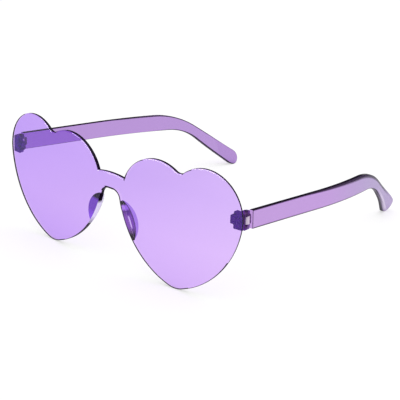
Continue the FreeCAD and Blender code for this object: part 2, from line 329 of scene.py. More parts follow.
def arc(start, end, centre):
    """Points along the shorter arc from start to end round a centre, without its end."""
    spoke = start - centre
    first = math.atan2(spoke.y, spoke.x)
    last = math.atan2(end.y - centre.y, end.x - centre.x)
    sweep = (last - first + math.pi) % math.tau - math.pi
    count = max(2, math.ceil(abs(sweep) * spoke.length / ARC_STEP))
    angles = [first + sweep * step / count for step in range(count)]
    return [centre + Vector((math.cos(angle), math.sin(angle))) * spoke.length for angle in angles]


def beyond(start, centre, distance):
    """The point that lies a distance past a centre, on the line from start."""
    return centre + (centre - start).normalized() * distance


inner_lobe = heart_point(HEART_AXIS - INNER_LOBE_OFFSET, INNER_LOBE_HEIGHT)
outer_lobe = heart_point(HEART_AXIS + OUTER_LOBE_OFFSET, OUTER_LOBE_HEIGHT)
tip = heart_point(HEART_AXIS, TIP_HEIGHT)
nose_corner = heart_point(NOSE_CORNER_OFFSET, NOSE_ARCH_TOP - NOSE_CORNER_RADIUS)
outer_side = circles_meet(
    outer_lobe, OUTER_SIDE_RADIUS - OUTER_LOBE_RADIUS, tip, OUTER_SIDE_RADIUS - TIP_RADIUS, -1
)
inner_side = circles_meet(
    tip, INNER_SIDE_RADIUS - TIP_RADIUS, nose_corner, INNER_SIDE_RADIUS + NOSE_CORNER_RADIUS, -1
)


def nose_edge(height):
    """The point of the heart's nose side at a height."""
    run = math.sqrt(INNER_SIDE_RADIUS**2 - (height - inner_side.y) ** 2)
    return heart_point(inner_side.x - run, height)


pad_top, pad_bottom = nose_edge(PAD_TOP), nose_edge(PAD_BOTTOM)
pad_along = (pad_bottom - pad_top).normalized()
pad_outward = Vector((-pad_along.y, pad_along.x))


def beside_pad(spot):
    """Whether a point of the lens's outline lies on a nose side, between the ends of its pad."""
    return PAD_BOTTOM < spot.y < PAD_TOP and abs(spot.x) < HEART_AXIS


def lens_outline():
    """The two hearts and the bridge as one loop, seen square to the lens."""
    corner_run = math.sqrt(INNER_LOBE_RADIUS**2 - (BRIDGE_CORNER_HEIGHT - INNER_LOBE_HEIGHT) ** 2)
    bridge_corner = heart_point(inner_lobe.x - corner_run, BRIDGE_CORNER_HEIGHT)
    notch = circles_meet(
        inner_lobe, INNER_LOBE_RADIUS + NOTCH_RADIUS, outer_lobe, OUTER_LOBE_RADIUS + NOTCH_RADIUS, 1
    )
    notch_start = inner_lobe + (notch - inner_lobe).normalized() * INNER_LOBE_RADIUS
    notch_end = outer_lobe + (notch - outer_lobe).normalized() * OUTER_LOBE_RADIUS
    lobe_end = beyond(outer_side, outer_lobe, OUTER_LOBE_RADIUS)
    tip_start = beyond(outer_side, tip, TIP_RADIUS)
    tip_end = beyond(inner_side, tip, TIP_RADIUS)
    nose_start = nose_corner + (inner_side - nose_corner).normalized() * NOSE_CORNER_RADIUS
    nose_end = nose_corner + heart_point(0, NOSE_CORNER_RADIUS)
    half = arc(bridge_corner, notch_start, inner_lobe)
    half += arc(notch_start, notch_end, notch)
    half += arc(notch_end, lobe_end, outer_lobe)
    half += arc(lobe_end, tip_start, outer_side)
    half += arc(tip_start, tip_end, tip)
    half += arc(tip_end, nose_start, inner_side)
    half += arc(nose_start, nose_end, nose_corner)
    half.append(nose_end)
    other_half = [heart_point(-spot.x, spot.y) for spot in reversed(half)]
    rise = BRIDGE_TOP - BRIDGE_CORNER_HEIGHT
    bridge_radius = (bridge_corner.x**2 + rise**2) / (2 * rise)
    over = arc(other_half[-1], bridge_corner, heart_point(0, BRIDGE_TOP - bridge_radius))
    return half + other_half + over[1:]


def eased(value, start, end):
    """A share that runs smoothly from 0 at start to 1 at end."""
    share = min(1.0, max(0.0, (value - start) / (end - start)))
    return share * share * (3 - 2 * share)


def bow(x, radius):
    """How far a face of the bowed sheet falls back from its middle to x."""
    return radius - math.sqrt(radius**2 - x**2)


LENS_HALF_WIDTH = outer_lobe.x + OUTER_LOBE_RADIUS
back_fall = bow(LENS_HALF_WIDTH, LENS_BOW_RADIUS) + LENS_END_THICKNESS - LENS_THICKNESS
LENS_BACK_RADIUS = (LENS_HALF_WIDTH**2 + back_fall**2) / (2 * back_fall)


def lens_back(x):
    """How far the sheet's back lies behind the middle of its front, at x."""
    return LENS_THICKNESS + bow(x, LENS_BACK_RADIUS)


def lens_share(x):
    """The sheet's thickness at x, as a share of its thickness in the middle."""
    return (lens_back(x) - bow(x, LENS_BOW_RADIUS)) / LENS_THICKNESS


PLATE_BACK = lens_back(HINGE.x) + PLATE_THICKNESS
LENS_Y = HINGE.y - KNUCKLE_RADIUS - FOLD_CLEARANCE - PLATE_BACK
LENS_Z = HINGE.z - HINGE_HEIGHT


def leaned(x, y, z):
    """A point of the upright lens, moved to where the lens leans back on the table."""
    upright = Vector((x, y, z))
    upright.rotate(Matrix.Rotation(-LENS_TILT, 3, "X"))
    return upright + Vector((0, LENS_Y, LENS_Z))


def on_lens(x, z, depth):
    """The point that lies a depth behind the lens's front, square to the bowed sheet. The sheet thins
    towards its ends, so depths past its middle are counted from the back."""
    x_in = x * (1 - depth / LENS_BOW_RADIUS)
    if depth < LENS_THICKNESS / 2:
        return leaned(x_in, bow(x_in, LENS_BOW_RADIUS) + depth, z)
    return leaned(x_in, lens_back(x_in) - LENS_THICKNESS + depth, z)


def ways_in(outline):
    """The direction into an outline, square to the stretch that ends at each of its points."""
    count = len(outline)
    area = sum(outline[i - 1].cross(outline[i]) for i in range(count))
    turn = math.copysign(1, area)
    ahead = [(outline[i] - outline[i - 1]).normalized() for i in range(count)]
    return [Vector((-way.y, way.x)) * turn for way in ahead]


def inset(outline, distances):
    """An outline whose points are drawn in by a distance each, with its corners kept."""
    inwards = ways_in(outline)
    moved = []
    for i, spot in enumerate(outline):
        before = inwards[i]
        after = inwards[(i + 1) % len(outline)]
        miter = (before + after) / (1 + before.dot(after))
        moved.append(spot + miter * distances[i])
    return moved


def rounded(corners, radius):
    """A polygon's loop with each corner rounded."""
    count = len(corners)
    loop = []
    for i, corner in enumerate(corners):
        before = (corners[i - 1] - corner).normalized()
        after = (corners[(i + 1) % count] - corner).normalized()
        half_angle = before.angle(after) / 2
        setback = radius / math.tan(half_angle)
        start = corner + before * setback
        end = corner + after * setback
        centre = corner + (before + after).normalized() * (radius / math.sin(half_angle))
        loop += arc(start, end, centre) + [end]
    return loop


def slab(outline, thickness, rounding, place, rim, back_rounding=None, line=None, cuts=(), face=FACE):
    """A closed sheet with an outline, two faces and a rim rounded at both edges. rounding takes a point of
    the outline and the way out there, and gives the rounding of the first edge across the sheet and
    through it. place takes a point of the outline's plane and a depth behind the first face. rim takes
    the same as rounding, and gives the materials of the ring next to the first face, the rest of that
    rounding, a line beside it, the rest of the rim and the second rounding. Cuts divide the sheet along
    its first axis. The points keep how far in they lie from the outline, and their share of the way
    through."""
    ways_out = [-inwards for inwards in ways_in(outline)]
    front = [rounding(*spot) for spot in zip(outline, ways_out)]
    back = [back_rounding(*spot) for spot in zip(outline, ways_out)] if back_rounding else front
    line = line or 2 * max(through for _, through in front)
    mesh = bmesh.new()
    edge_inset = mesh.verts.layers.float.new(EDGE_INSET)
    edge_through = mesh.verts.layers.float.new(EDGE_THROUGH)
    loops = []

    def add_loop(drawn_in, depths):
        loop = []
        for spot, distance, depth in zip(inset(outline, drawn_in), drawn_in, depths):
            loop.append(mesh.verts.new((*spot, depth)))
            loop[-1][edge_inset] = distance
            loop[-1][edge_through] = depth / thickness
        loops.append(loop)

    def add_round(edge, share, depth_at):
        angle = math.pi / 2 * share
        drawn_in = [across * (1 - math.sin(angle)) for across, _ in edge]
        add_loop(drawn_in, [depth_at(through * (1 - math.cos(angle))) for _, through in edge])

    shares = [step / ROUNDING_STEPS for step in range(ROUNDING_STEPS + 1)]
    for share in shares:
        add_round(front, share, lambda depth: depth)
    add_loop([0.0] * len(outline), [line] * len(outline))
    for share in reversed(shares):
        add_round(back, share, lambda depth: thickness - depth)
    mesh.faces.new(loops[0]).material_index = face
    mesh.faces.new(list(reversed(loops[-1]))).material_index = face
    for i, outwards in enumerate(ways_out):
        ring, first_rest, beside, flat, second = rim(outline[i], outwards)
        bands = [ring] + [first_rest] * (ROUNDING_STEPS - 1) + [beside, flat] + [second] * ROUNDING_STEPS
        for near, far, material_index in zip(loops, loops[1:], bands):
            quad = mesh.faces.new((near[i - 1], far[i - 1], far[i], near[i]))
            quad.material_index = material_index
    for cut in cuts:
        whole = mesh.verts[:] + mesh.edges[:] + mesh.faces[:]
        bmesh.ops.bisect_plane(mesh, geom=whole, plane_co=(cut, 0, 0), plane_no=(1, 0, 0))
    for vert in mesh.verts:
        vert.co = place(*vert.co)
    bmesh.ops.recalc_face_normals(mesh, faces=mesh.faces[:])
    return mesh


def one_material(material_index):
    """A rim that is the same all round."""
    return lambda spot, outwards: (material_index,) * 5


def steps_between(low, high, step):
    """Evenly spaced places between two ends, both left out."""
    count = math.ceil((high - low) / step)
    return [low + (high - low) * i / count for i in range(1, count)]


def new_piece(name, mesh, materials):
    """An object for a finished mesh."""
    data = bpy.data.meshes.new(name)
    mesh.to_mesh(data)
    mesh.free()
    for material in materials:
        data.materials.append(material)
    piece = bpy.data.objects.new(name, data)
    bpy.context.scene.collection.objects.link(piece)
    return piece


def combine(piece, tool, operation):
    """Joins a tool to a piece, or cuts it out of the piece. The tool is used up."""
    change = piece.modifiers.new("combine", "BOOLEAN")
    change.operation = operation
    change.solver = "EXACT"
    change.object = tool
    graph = bpy.context.evaluated_depsgraph_get()
    shaped = bpy.data.meshes.new_from_object(piece.evaluated_get(graph))
    piece.modifiers.remove(change)
    old = piece.data
    piece.data = shaped
    shaped.name = piece.name
    bpy.data.meshes.remove(old)
    bpy.data.objects.remove(tool)


def smooth(piece):
    """Shades a piece smooth, with its broad faces kept flat and its corners kept sharp."""
    piece.data.shade_smooth()
    piece.data.set_sharp_from_angle(angle=SHARP_ANGLE)
    weigh = piece.modifiers.new("broad faces stay flat", "WEIGHTED_NORMAL")
    weigh.keep_sharp = True


def flip(piece):
    """Mirrors a left piece into a right one."""
    piece.data.transform(Matrix.Scale(-1, 4, (1, 0, 0)))
    piece.data.flip_normals()


def attach(piece, node, body, side="left"):
    """Shades a piece and puts it in the place of its solid. A piece for the right side is mirrored first."""
    if side == "right":
        flip(piece)
    smooth(piece)
    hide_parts(node)
    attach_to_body(piece, body)


class Finish:
    """The nodes of one material."""

    def __init__(self, name):
        self.material = bpy.data.materials.new(name)
        self.material.use_nodes = True
        self.nodes = self.material.node_tree.nodes
        self.links = self.material.node_tree.links
        self.nodes.clear()

    def add(self, kind, inputs, output=0, **settings):
        """Adds a node, whose inputs take values or other nodes' outputs, and gives one of its outputs."""
        node = self.nodes.new("ShaderNode" + kind)
        for name, value in settings.items():
            setattr(node, name, value)
        for name, value in inputs.items():
            socket = node.inputs[name]
            if isinstance(value, bpy.types.NodeSocket):
                self.links.new(value, socket)
            elif socket.type == "RGBA":
                socket.default_value = (*value, 1.0)
            else:
                socket.default_value = value
        return node.outputs[output]

    def place(self, axis):
        """Where a point lies along an axis of the object."""
        return self.add("SeparateXYZ", {"Vector": self.add("TexCoord", {}, "Object")}, axis)

    def clouds(self, scale, detail=3.0):
        """A soft noise on the object's own coordinates."""
        places = self.add("TexCoord", {}, "Object")
        return self.add("TexNoise", {"Vector": places, "Scale": scale, "Detail": detail}, "Fac")

    def mesh_value(self, name):
        """A number that the mesh keeps at its points."""
        return self.add("Attribute", {}, "Fac", attribute_name=name)

    def between(self, factor, low, high, start=0.0, end=1.0):
        """A number that runs from low to high as a factor runs from start to end."""
        inputs = {"Value": factor, "From Min": start, "From Max": end, "To Min": low, "To Max": high}
        return self.add("MapRange", inputs, "Result")

    def each_side(self, right, left):
        """A number that runs along each temple. Each side gives two values and where they lie along Y."""
        along = self.place("Y")
        is_left = self.sum_up("GREATER_THAN", self.place("X"), 0.0)
        return self.between(is_left, self.between(along, *right), self.between(along, *left))

    def blend(self, factor, first, second, way="MIX"):
        """A colour that runs from the first to the second with a factor."""
        inputs = {"Factor": factor, "A": first, "B": second}
        return self.add("Mix", inputs, "Result", data_type="RGBA", blend_type=way)

    def from_right(self, right, left, reach=HINGE.x):
        """A colour that runs from the right side of the sunglasses to the left."""
        return self.blend(self.between(self.place("X"), 0.0, 1.0, -reach, reach), right, left)

    def sum_up(self, operation, first, second):
        """A number worked out from two others."""
        return self.add("Math", {0: first, 1: second}, operation=operation)

    def steps(self, factor, stops):
        """A colour that passes through stops, each a place from 0 to 1 and a colour."""
        colour = self.add("ValToRGB", {"Fac": factor}, "Color")
        elements = colour.node.color_ramp.elements
        for place, _ in stops[1:-1]:
            elements.new(place)
        for element, (place, stop) in zip(elements, stops):
            element.position = place
            element.color = (*stop, 1.0)
        return colour

    def painted_glint(self, factor, start, full, fading, end):
        """The mask of a painted glint: white along a stretch of a factor, and black elsewhere."""
        stops = [(0.0, BLACK), (start, BLACK), (full, WHITE), (fading, WHITE), (end, BLACK), (1.0, BLACK)]
        return self.steps(factor, stops)

    def mix(self, factor, first, second):
        """A surface between two others."""
        return self.add("MixShader", {0: factor, 1: first, 2: second})

    def from_behind(self):
        """1 where a face is seen from inside the plastic."""
        return self.add("NewGeometry", {}, "Backfacing")

    def clear(self, tint):
        """Polished see-through plastic. A face that is seen from inside mirrors nothing."""
        outside = self.sum_up("SUBTRACT", 1.0, self.from_behind())
        share = self.sum_up("MULTIPLY", self.add("Fresnel", {"IOR": PLASTIC_INDEX}), outside)
        roughness = self.between(self.clouds(scale=45.0), 0.02, 0.07)
        gloss = self.add("BsdfGlossy", {"Color": WHITE, "Roughness": roughness})
        return self.mix(share, self.add("BsdfTransparent", {"Color": tint}), gloss)

    def solid(self, dark, light, grain, roughness):
        """Plastic that light doesn't pass, mottled between two colours."""
        clouds = self.clouds(grain)
        colour = self.blend(clouds, dark, light)
        inputs = {"Base Color": colour, "Roughness": self.between(clouds, *roughness), "IOR": PLASTIC_INDEX}
        return self.add("BsdfPrincipled", inputs)

    def surface(self, shader):
        """Ends the nodes, and gives the material."""
        output = self.nodes.new("ShaderNodeOutputMaterial")
        self.links.new(shader, output.inputs["Surface"])
        return self.material


def scaled(colour, share):
    """A colour made darker or lighter."""
    return tuple(part * share for part in colour)


def lens_face(colours):
    """Violet with painted shade, which makes it deeper on the right heart and towards the top."""
    finish = Finish("lens_face")
    height = finish.between(finish.place("Z"), 0.0, 1.0, *LENS_DEEPENS)
    tint = finish.from_right(colours.lens_right, colours.lens_left, LENS_HALF_WIDTH)
    return finish.surface(finish.clear(finish.blend(height, tint, colours.lens_top, "MULTIPLY")))


def shaded_cut_edge(finish, colours):
    """Painted shade: the nearly black violet of a cut edge, which mirrors little."""
    dark = finish.solid(colours.edge, scaled(colours.edge, 2.5), grain=900.0, roughness=(0.1, 0.25))
    dark.node.inputs["Specular IOR Level"].default_value = EDGE_SPECULAR
    return dark


def edge_line(colours):
    """Cut edge of the lens in painted shade, dark from either side."""
    finish = Finish("lens_edge_line")
    return finish.surface(shaded_cut_edge(finish, colours))


def edge_band(colours):
    """Cut edge of the lens in painted shade, dark from outside, and clear when it is seen through the sheet.
    """
    finish = Finish("lens_edge_band")
    clear = finish.add("BsdfTransparent", {"Color": colours.lens_left})
    return finish.surface(finish.mix(finish.from_behind(), shaded_cut_edge(finish, colours), clear))


def pad_depths_light_and_shade(finish, along, colours):
    """Deep violets along the nose side of a pad, from its top to its bottom, with black painted shade at
    both ends, painted light and shadow near the top, and grey shade near the bottom.
    """
    return finish.steps(
        along,
        [
            (0.0, PAD_SHADE_BLACK), (0.11, PAD_SHADE_BLACK), (0.16, PAD_PAINTED_LIGHT), (0.24, PAD_PAINTED_LIGHT), (0.3, PAD_SHADOW),
            (0.38, PAD_HALF_SHADOW), (0.45, colours.pad_nose), (0.7, colours.pad_nose), (0.82, PAD_GREY),
            (0.9, PAD_SHADE_BLACK), (1.0, PAD_SHADE_BLACK),
        ],
    )


def edge_at_pad(name, colours, inside_shade):
    """Cut edge of the lens beside a pad: pale from outside, with painted shade black at its top and darker
    towards its bottom, and the pad's deep violets with their painted light and shade when it is seen through
    the sheet, times a shade."""
    finish = Finish(name)
    along = finish.between(finish.place("Z"), 0.0, 1.0, LENS_Z + PAD_TOP, LENS_Z + PAD_BOTTOM)
    deep = finish.blend(1.0, pad_depths_light_and_shade(finish, along, colours), inside_shade, "MULTIPLY")
    # Painted shade: black at the top, and darker towards the bottom
    pale = finish.steps(
        along,
        [
            (0.0, colours.edge), (0.2, colours.edge), (0.3, colours.pad_pale_outside), (0.74, colours.pad_pale_outside),
            (0.88, scaled(colours.pad_pale_outside, 0.6)), (1.0, scaled(colours.pad_pale_outside, 0.4)),
        ],
    )
    pale_from_outside = finish.add("BsdfDiffuse", {"Color": pale})
    inside = finish.add("BsdfTransparent", {"Color": deep})
    return finish.surface(finish.mix(finish.from_behind(), pale_from_outside, inside))


def temple_tint(finish, colours):
    """Violet with painted shade, which makes it deeper on the right and greyer towards the left tail."""
    along = finish.between(finish.place("Y"), 0.0, 1.0, *TAIL_GREYS)
    left = finish.blend(along, colours.temple_left, colours.temple_tail)
    return finish.from_right(colours.temple_right, left)


def temple_face(colours):
    """The flat sides of the temples."""
    finish = Finish("temple_face")
    return finish.surface(finish.clear(temple_tint(finish, colours)))


def temple_edge(finish, colours, tint, share):
    """Edge of a temple in painted shade, dark from outside, and clear when it is seen through the strip."""
    outside = finish.sum_up("SUBTRACT", 1.0, finish.from_behind())
    dark = finish.sum_up("MULTIPLY", share, outside)
    return finish.surface(finish.mix(dark, finish.clear(tint), shaded_cut_edge(finish, colours)))


def line_at_outline(finish, share, width):
    """A share that fades out at a distance from the outline."""
    core = finish.sum_up("MULTIPLY", width, LINE_CORE)
    near = finish.between(finish.mesh_value(EDGE_INSET), 1.0, 0.0, core, width)
    return finish.sum_up("MULTIPLY", share, near)


def temple_top_round(colours):
    """Upper roundings: a dark line of painted shade, which grows wide and soft towards the left bend."""
    finish = Finish("temple_top_rounding")
    line = line_at_outline(finish, finish.each_side(*TOP_LINE), finish.each_side(*TOP_WIDTH))
    return temple_edge(finish, colours, temple_tint(finish, colours), line)


def temple_low_round(colours):
    """Lower roundings: a dark line of painted shade, and a painted pale sheen beside it on the left tail."""
    finish = Finish("temple_low_rounding")
    inner = finish.between(finish.mesh_value(EDGE_THROUGH), *INNER_LINE)
    share = finish.sum_up("MAXIMUM", finish.each_side(*LOW_LINE), inner)
    line = line_at_outline(finish, share, finish.each_side(*LOW_WIDTH))
    # Painted sheen on the left tail's lower rounding
    tint = finish.blend(finish.each_side(*LOW_PAINTED_SHEEN), temple_tint(finish, colours), colours.tail_painted_sheen)
    return temple_edge(finish, colours, tint, line)


def temple_top(colours):
    """Upper edges in painted shade, which grow clear along the right temple and behind the left bend."""
    finish = Finish("temple_top_edge")
    return temple_edge(finish, colours, temple_tint(finish, colours), finish.each_side(*TOP_EDGE))


def temple_low(colours):
    """Lower edges in painted shade, which is darkest towards the head."""
    finish = Finish("temple_low_edge")
    share = finish.between(finish.mesh_value(EDGE_THROUGH), *INNER_EDGE)
    return temple_edge(finish, colours, temple_tint(finish, colours), share)


def moulded_plastic(name, colour):
    """Moulded violet plastic with a faint grain."""
    finish = Finish(name)
    return finish.surface(finish.solid(scaled(colour, 0.75), colour, grain=700.0, roughness=(0.2, 0.4)))


def hinge_plastic(colours):
    """Moulded violet plastic that passes some light, patchy, paler in the lower knuckle as painted light,
    and deeper on the right block as painted shade.
    """
    finish = Finish("hinge_block")
    low = finish.between(
        finish.place("Z"), 1.0, 0.0, HINGE.z - KNUCKLE_STACK / 2, HINGE.z - TEMPLE_KNUCKLE_HEIGHT / 2
    )
    behind = finish.between(finish.place("Y"), 0.0, 1.0, HINGE.y - KNUCKLE_RADIUS, HINGE.y)
    # Painted light: the lower knuckle, behind the hinge axis, turns paler
    painted_pale_low = finish.between(finish.sum_up("MULTIPLY", low, behind), 0.0, 0.5)
    clouds = finish.clouds(scale=650.0)
    patches = finish.between(clouds, 0.5, 1.3, 0.35, 0.65)
    # Painted shade: the right block's colour and clear tint are deeper than the left's
    violet = finish.from_right(colours.fitting_right, colours.fitting)
    deep = finish.blend(1.0, violet, patches, "MULTIPLY")
    inputs = {
        "Base Color": finish.blend(painted_pale_low, deep, finish.from_right(colours.glow_right, colours.knuckle)),
        "Roughness": finish.between(clouds, 0.15, 0.35),
        "IOR": PLASTIC_INDEX,
        "Specular IOR Level": HINGE_SPECULAR,
    }
    glow = finish.from_right(colours.glow_right, colours.glow_left)
    through = finish.add("BsdfTransparent", {"Color": glow})
    return finish.surface(finish.mix(HINGE_CLEAR, finish.add("BsdfPrincipled", inputs), through))


def pad_base():
    """The side of a pad that clear cement bonds to the lens."""
    finish = Finish("pad_base")
    clouds = finish.clouds(scale=200.0, detail=2.0)
    return finish.surface(finish.clear(finish.blend(clouds, PAD_CEMENT, WHITE)))


def pad_broad(colours):
    """The pads' broad flank. The right pad is deeper with painted shade, black at its top with painted
    shade, and paler at its bottom with painted light.
    """
    finish = Finish("pad_broad_flank")
    pale = scaled(colours.pad_right, 1.5)
    ends = finish.steps(
        finish.mesh_value(PAD_ALONG),
        [
            (0.0, colours.edge), (0.32, colours.edge), (0.4, colours.pad_right), (0.7, colours.pad_right),
            (0.85, pale), (1.0, pale),
        ],
    )
    return finish.surface(finish.clear(finish.from_right(ends, colours.pad_left, PAD_WIDTH)))


def pad_nose(colours):
    """The pads' nose flank: pale outside, deep inside with painted light and shade, and a pale painted
    glint.
    """
    finish = Finish("pad_nose_flank")
    along = finish.mesh_value(PAD_ALONG)
    # A painted glint along the middle of the nose flank
    lengthwise = finish.painted_glint(along, *PAINTED_GLINT_ALONG)
    crosswise = finish.painted_glint(finish.mesh_value(PAD_ACROSS), *PAINTED_GLINT_ACROSS)
    painted_glint = finish.blend(1.0, lengthwise, crosswise, "MULTIPLY")
    tint = finish.blend(painted_glint, pad_depths_light_and_shade(finish, along, colours), WHITE)
    inside = finish.add("BsdfTransparent", {"Color": tint})
    pale = colours.pad_pale_outside
    pale_outside = finish.solid(scaled(pale, 0.9), pale, grain=500.0, roughness=(0.3, 0.45))
    return finish.surface(finish.mix(finish.from_behind(), pale_outside, inside))


def pad_ridge(colours):
    """The pads' rounded ridge, where the colour is deepest."""
    finish = Finish("pad_ridge")
    deep = scaled(colours.pad_nose, 0.4)
    clouds = finish.clouds(scale=400.0, detail=2.0)
    return finish.surface(finish.clear(finish.blend(clouds, deep, scaled(deep, 1.5))))


def burnished_steel(colour):
    """Dark drawn steel with a fine grain."""
    finish = Finish("burnished_steel")
    grain = finish.clouds(scale=2500.0, detail=2.0)
    inputs = {
        "Base Color": finish.blend(grain, colour, scaled(colour, 1.3)),
        "Roughness": finish.between(grain, 0.25, 0.45),
        "Metallic": 1.0,
    }
    return finish.surface(finish.add("BsdfPrincipled", inputs))


class SUNGLASSES_OT_lens(bpy.types.Operator):
    """Make the bowed one-piece lens"""

    bl_idname = "sunglasses.lens"
    bl_label = "Lens"

    def execute(self, context):
        sizes = context.scene.sunglasses_sizes
        colours = context.scene.sunglasses_colours

        def front_rounding(spot, outwards):
            lit = eased(outwards.dot(LIT_WAY), 0.0, 2 * LIT_SHARE)
            from_bridge = eased(abs(spot.x), nose_corner.x + NOSE_CORNER_RADIUS, pad_bottom.x)
            unlit = sizes.bridge_edge + (sizes.lens_edge - sizes.bridge_edge) * from_bridge
            across = unlit + (sizes.lens_lit_edge - unlit) * lit
            shallow = LEFT_SHALLOW * eased(outwards.x, LIT_SHARE, 1.0)
            return across, sizes.lens_depth * lens_share(spot.x) ** 2 * (1 - shallow)

        def back_rounding(spot, outwards):
            """Beside a pad it reaches to the straight foot of the pad."""
            across = sizes.lens_back_edge
            if beside_pad(spot):
                across = max(across, (pad_top - heart_point(abs(spot.x), spot.y)).dot(pad_outward))
            return across, sizes.lens_back_edge

        mesh = slab(
            lens_outline(),
            LENS_THICKNESS - sizes.seat_gap,
            front_rounding,
            on_lens,
            self.rim,
            back_rounding,
            line=sizes.lens_line,
            cuts=steps_between(-LENS_HALF_WIDTH, LENS_HALF_WIDTH, LENS_STRIP),
        )
        lens = new_piece("lens", mesh, self.materials(colours))
        attach(lens, "lens_shield", "front")
        return {"FINISHED"}

    def materials(self, colours):
        """Clear faces, a dark line and a dark band of painted shade round the rim, and the rim beside the
        pads.
        """
        return [
            lens_face(colours),
            edge_line(colours),
            edge_band(colours),
            edge_at_pad("lens_line_at_pad", colours, scaled(WHITE, SEAT_LINE_SHADE)),
            edge_at_pad("lens_edge_at_pad", colours, WHITE),
        ]

    def rim(self, spot, outwards):
        """Edges that face up or to the left are painted as lit: light from above clears their front. The
        other edges have their dark line of painted shade in front, the more so the further they turn away."""
        if beside_pad(spot):
            return FACE, SEAT_LINE, SEAT_LINE, SEAT, SEAT
        lit = outwards.dot(LIT_WAY)
        if lit > LIT_SHARE:
            return FACE, FACE, BAND, BAND, BAND
        return LINE if lit < -LIT_SHARE else FACE, LINE, LINE, BAND, BAND


def falling(degrees):
    """The direction that falls towards the ear at an angle."""
    return Vector((math.cos(math.radians(degrees)), -math.sin(math.radians(degrees))))


def bend(before, before_direction, after, after_direction, radius):
    """Start, end and centre of the arc that rounds the corner where two falling lines meet."""
    gap = after - before
    run = gap.cross(after_direction) / before_direction.cross(after_direction)
    corner = before + before_direction * run
    setback = radius * math.tan(before_direction.angle(after_direction) / 2)
    start = corner - before_direction * setback
    centre = start + Vector((before_direction.y, -before_direction.x)) * radius
    return start, corner + after_direction * setback, centre


def temple_outline():
    """The temple seen from the side: a sloping strip, a bend and a tail with a round tip on the table."""
    front_y = HINGE.y + TEMPLE_GAP
    top_front = Vector((front_y, HINGE.z + TEMPLE_HEIGHT / 2))
    bottom_front = Vector((front_y, HINGE.z - TEMPLE_HEIGHT / 2))
    tip_centre = Vector((HINGE.y + TEMPLE_TIP_REACH, TEMPLE_TIP_RADIUS))
    strip_top, strip_bottom = falling(TEMPLE_TOP_PITCH), falling(TEMPLE_BOTTOM_PITCH)
    tail_top, tail_bottom = falling(TAIL_TOP_DROP), falling(TAIL_BOTTOM_DROP)
    tip_top = tip_centre + Vector((-tail_top.y, tail_top.x)) * TEMPLE_TIP_RADIUS
    tip_bottom = tip_centre - Vector((-tail_bottom.y, tail_bottom.x)) * TEMPLE_TIP_RADIUS
    tip_end = tip_centre + (tail_top + tail_bottom).normalized() * TEMPLE_TIP_RADIUS
    top_start, top_end, top_centre = bend(top_front, strip_top, tip_top, tail_top, BEND_TOP_RADIUS)
    low_start, low_end, low_centre = bend(
        bottom_front, strip_bottom, tip_bottom, tail_bottom, BEND_BOTTOM_RADIUS
    )
    loop = [bottom_front, top_front]
    loop += arc(top_start, top_end, top_centre) + [top_end]
    loop += arc(tip_top, tip_end, tip_centre) + arc(tip_end, tip_bottom, tip_centre) + [tip_bottom]
    loop += arc(low_end, low_start, low_centre) + [low_start]
    return loop


def bowed_side(y, front_x, splay, radius):
    """How far out a long side of the temple lies at y: straight from its front, then bowed in."""
    front_y = HINGE.y + TEMPLE_GAP
    start_y = HINGE.y + TEMPLE_BOW_START
    if y < start_y:
        return front_x - (y - front_y) * math.tan(splay)
    start_x = front_x - (start_y - front_y) * math.tan(splay)
    run = y - start_y + radius * math.sin(splay)
    return start_x - radius * math.cos(splay) + math.sqrt(radius**2 - run**2)


def on_temple(y, z, depth):
    """The point that lies a depth behind the temple's outer side. The strip thickens towards its tail,
    so depths past its middle are counted from the inner side."""
    growth = (TEMPLE_TAIL_THICKNESS - TEMPLE_FRONT_THICKNESS) / 2
    half_taper = math.atan(growth / (TEMPLE_TIP_REACH - TEMPLE_GAP))
    half = TEMPLE_FRONT_THICKNESS / 2
    middle_x = HINGE.x + TEMPLE_OFFSET
    if depth < half:
        outer = bowed_side(y, middle_x + half, TEMPLE_SPLAY - half_taper, TEMPLE_BOW_RADIUS + half)
        x = outer - depth
    else:
        inner = bowed_side(y, middle_x - half, TEMPLE_SPLAY + half_taper, TEMPLE_BOW_RADIUS - half)
        x = inner + TEMPLE_FRONT_THICKNESS - depth
    return Vector((x + tail_lean(y, z), y, z))


def tail_lean(y, z):
    """How far out the twist of the tail carries a point above the tail's middle line."""
    drop = math.radians((TAIL_TOP_DROP + TAIL_BOTTOM_DROP) / 2)
    middle_z = TEMPLE_TIP_RADIUS + (HINGE.y + TEMPLE_TIP_REACH - y) * math.tan(drop)
    share = eased(y - HINGE.y, TAIL_TWIST_START, TEMPLE_TIP_REACH)
    return (z - middle_z) * math.tan(TAIL_TWIST) * share


def about_hinge(radius, first, last):
    """Points round the hinge axis from one angle to another, seen from above."""
    count = math.ceil(abs(last - first) * radius / KNUCKLE_STEP)
    angles = [first + (last - first) * step / count for step in range(count)]
    return [Vector((HINGE.x + radius * math.cos(a), HINGE.y + radius * math.sin(a))) for a in angles]


def stacked(bottom):
    """Places an outline that is seen from above at a height over the table."""
    return lambda x, y, depth: Vector((x, y, bottom + depth))


def upright(outline, bottom, height, rounding, material_index):
    """A post with an outline that is seen from above, in one material."""
    return slab(
        outline, height, lambda spot, outwards: (rounding, rounding), stacked(bottom),
        rim=one_material(material_index), face=material_index,
    )


def cut_bore(piece, radius, bottom, height, materials):
    """Cuts the pin's hole through a piece."""
    outline = about_hinge(radius, 0, math.tau)
    bore = upright(outline, bottom - KNUCKLE_GAP, height + 2 * KNUCKLE_GAP, KNUCKLE_GAP / 4, FACE)
    combine(piece, new_piece("bore", bore, materials), "DIFFERENCE")


